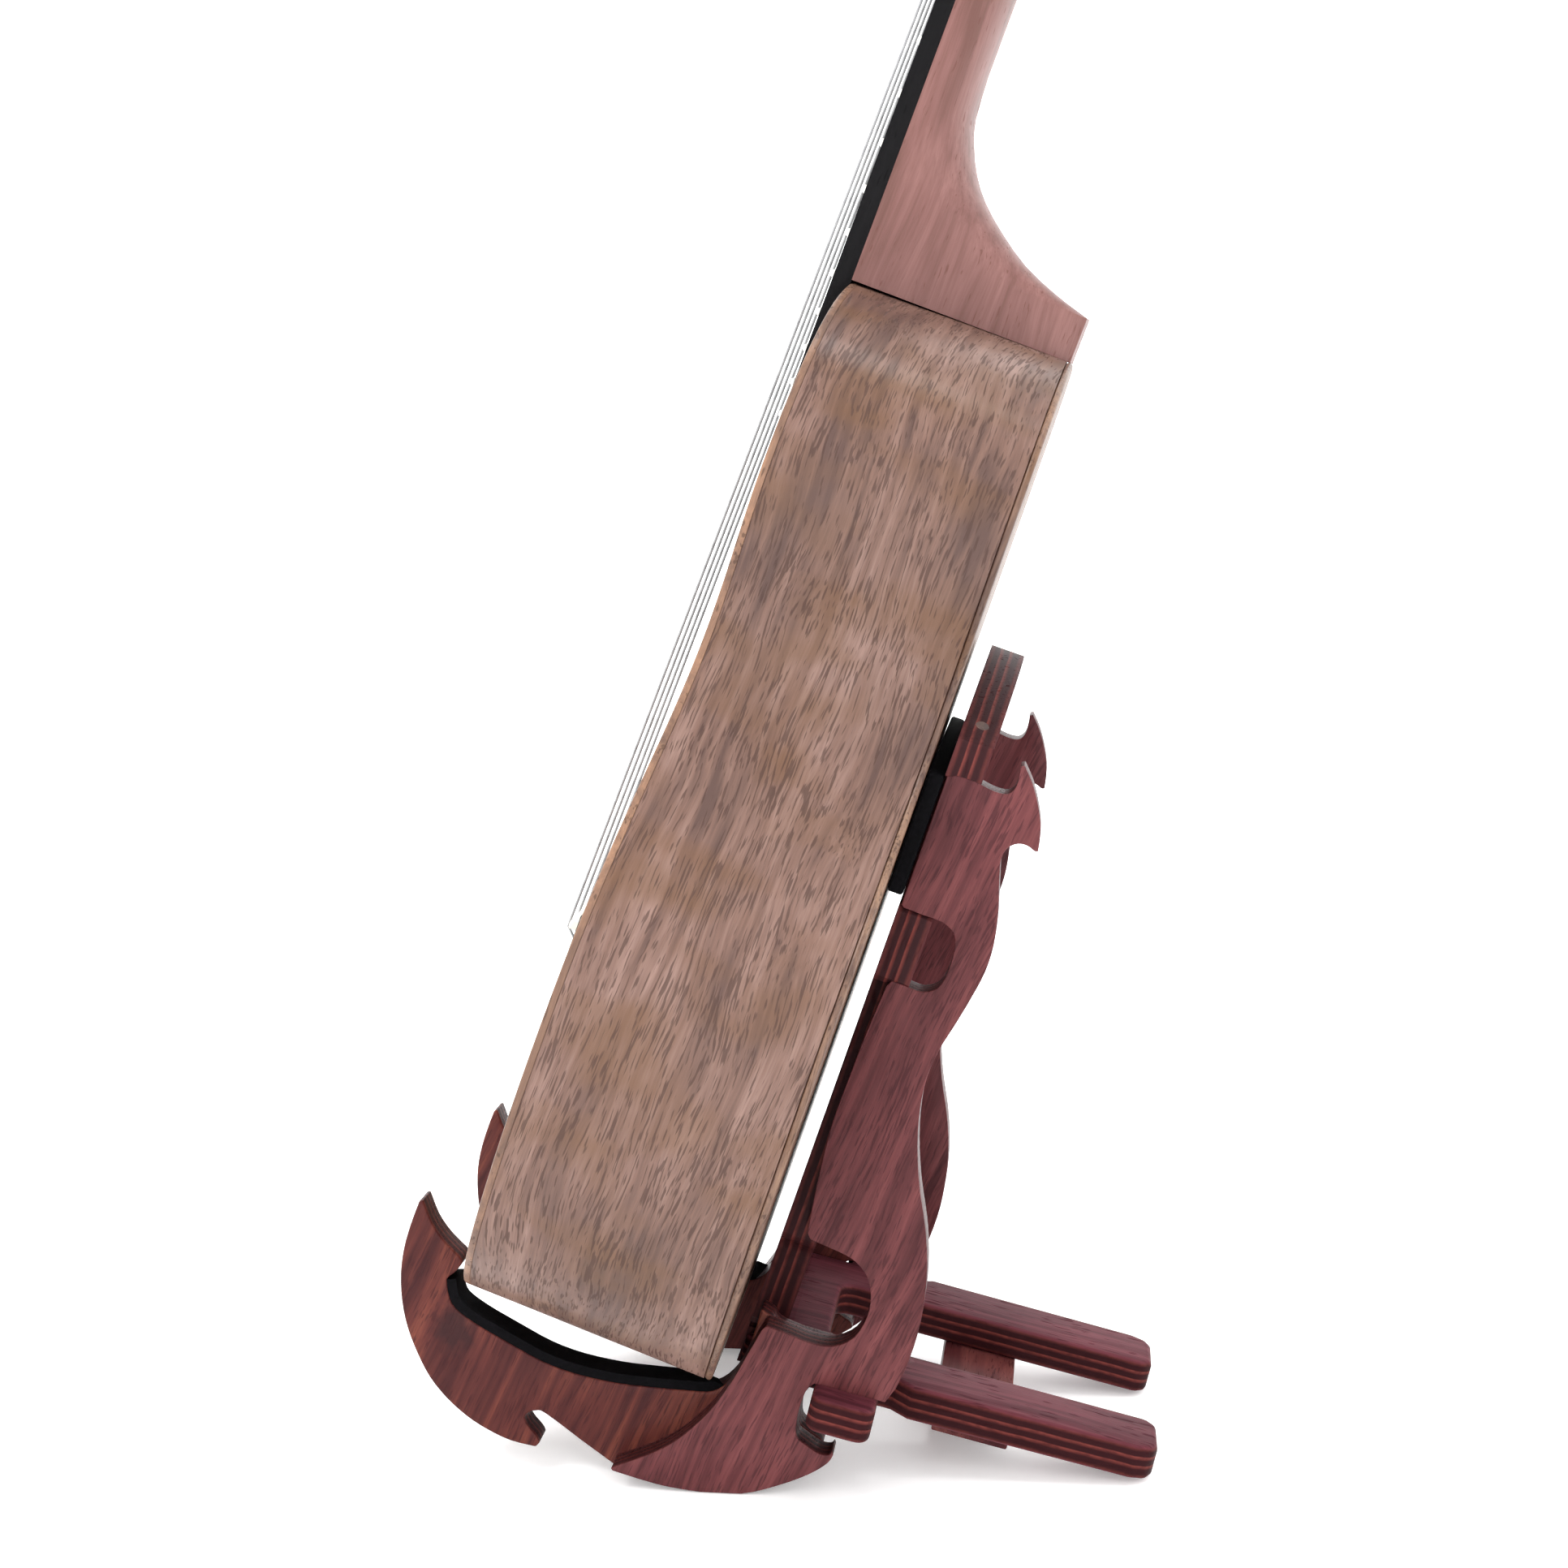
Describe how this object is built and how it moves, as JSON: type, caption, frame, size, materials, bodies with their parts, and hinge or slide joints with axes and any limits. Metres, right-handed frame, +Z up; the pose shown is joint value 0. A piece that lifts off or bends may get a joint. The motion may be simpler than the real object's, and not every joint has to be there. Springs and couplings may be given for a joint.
{
  "type": "ukulele on stand",
  "caption": "Tenor ukulele leaning in a knock-down plywood floor stand with foam-padded cradle arms, back rest and sloping base plate.",
  "frame": {"origin": "on the floor, in the middle of the whole object's box; the curved lower edges of the two side panels touch the floor 48.9 mm in front of it", "axes": "+Z up, -Y is the side that the soundboard faces, +Y the rear where the base plate's legs end, +X the stand's and the player's left-to-right axis"},
  "size_m": [0.223, 0.278, 0.6481],
  "materials": {
    "stand_wood": "satin stained plywood",
    "arm_wood": "satin stained plywood",
    "base_wood": "satin stained plywood",
    "foam": "matte black foam",
    "body_wood": "satin open-pored mahogany",
    "top_wood": "satin tonewood",
    "neck_wood": "satin mahogany",
    "inner_wood": "bare wood",
    "dark_wood": "matte ebonised wood",
    "veneer": "satin dark veneer",
    "bone": "polished off-white",
    "nickel": "polished nickel plate",
    "pearl": "pearl white",
    "string": "smooth clear grey monofilament"
  },
  "bodies": {
    "stand": {"side_panel_right": "stand_wood", "side_panel_left": "stand_wood", "cradle_arm_right": "arm_wood", "cradle_arm_left": "arm_wood", "back_panel": "stand_wood", "base_plate": "base_wood", "crossbar": "base_wood", "edge_plug": "stand_wood", "back_pad": "foam", "cradle_pad_right": "foam", "cradle_pad_left": "foam"},
    "ukulele": {"soundboard": "top_wood", "rosette": "dark_wood", "back_plate": "body_wood", "side_ribs": "body_wood", "neck_block": "inner_wood", "tail_block": "inner_wood", "front_lining": "inner_wood", "back_lining": "inner_wood", "front_braces": "inner_wood", "back_braces": "inner_wood", "bridge_patch": "inner_wood", "bridge": "dark_wood", "saddle": "bone", "neck": "neck_wood", "fingerboard": "dark_wood", "frets": "nickel", "face_dots": "bone", "edge_dots": "bone", "nut": "bone", "head_veneer": "veneer", "tuner_housings": "nickel", "tuner_bushings": "nickel", "tuner_screws": "nickel", "string_1": "string", "string_2": "string", "string_3": "string", "string_4": "string"},
    "tuner_1": {"button_1": "pearl"},
    "roller_1": {"post_1": "nickel"},
    "tuner_2": {"button_2": "pearl"},
    "roller_2": {"post_2": "nickel"},
    "tuner_3": {"button_3": "pearl"},
    "roller_3": {"post_3": "nickel"},
    "tuner_4": {"button_4": "pearl"},
    "roller_4": {"post_4": "nickel"}
  },
  "joints": [
    {"name": "ukulele_lift", "type": "slide", "parent": "stand", "child": "ukulele", "axis": [0, 0.3242, 0.946], "range_m": [0, 0.1]},
    {"name": "button_1_turn", "type": "hinge", "parent": "ukulele", "child": "tuner_1", "pos_m": [0.0185, 0.10266, 0.57243], "axis": [1, 0, 0], "continuous": true},
    {"name": "post_1_turn", "type": "hinge", "parent": "ukulele", "child": "roller_1", "pos_m": [0.0185, 0.08287, 0.57627], "axis": [0, -0.8434, 0.5373], "continuous": true},
    {"name": "button_2_turn", "type": "hinge", "parent": "ukulele", "child": "tuner_2", "pos_m": [0.0175, 0.12522, 0.60786], "axis": [1, 0, 0], "continuous": true},
    {"name": "post_2_turn", "type": "hinge", "parent": "ukulele", "child": "roller_2", "pos_m": [0.0175, 0.10544, 0.61169], "axis": [0, -0.8434, 0.5373], "continuous": true},
    {"name": "button_3_turn", "type": "hinge", "parent": "ukulele", "child": "tuner_3", "pos_m": [-0.0185, 0.10266, 0.57243], "axis": [1, 0, 0], "continuous": true},
    {"name": "post_3_turn", "type": "hinge", "parent": "ukulele", "child": "roller_3", "pos_m": [-0.0185, 0.08287, 0.57627], "axis": [0, -0.8434, 0.5373], "continuous": true},
    {"name": "button_4_turn", "type": "hinge", "parent": "ukulele", "child": "tuner_4", "pos_m": [-0.0175, 0.12522, 0.60786], "axis": [1, 0, 0], "continuous": true},
    {"name": "post_4_turn", "type": "hinge", "parent": "ukulele", "child": "roller_4", "pos_m": [-0.0175, 0.10544, 0.61169], "axis": [0, -0.8434, 0.5373], "continuous": true}
  ],
  "couplings": [
    {"joint": "post_1_turn", "follows": "button_1_turn", "ratio": -0.0625},
    {"joint": "post_2_turn", "follows": "button_2_turn", "ratio": -0.0625},
    {"joint": "post_3_turn", "follows": "button_3_turn", "ratio": 0.0625},
    {"joint": "post_4_turn", "follows": "button_4_turn", "ratio": 0.0625}
  ]
}
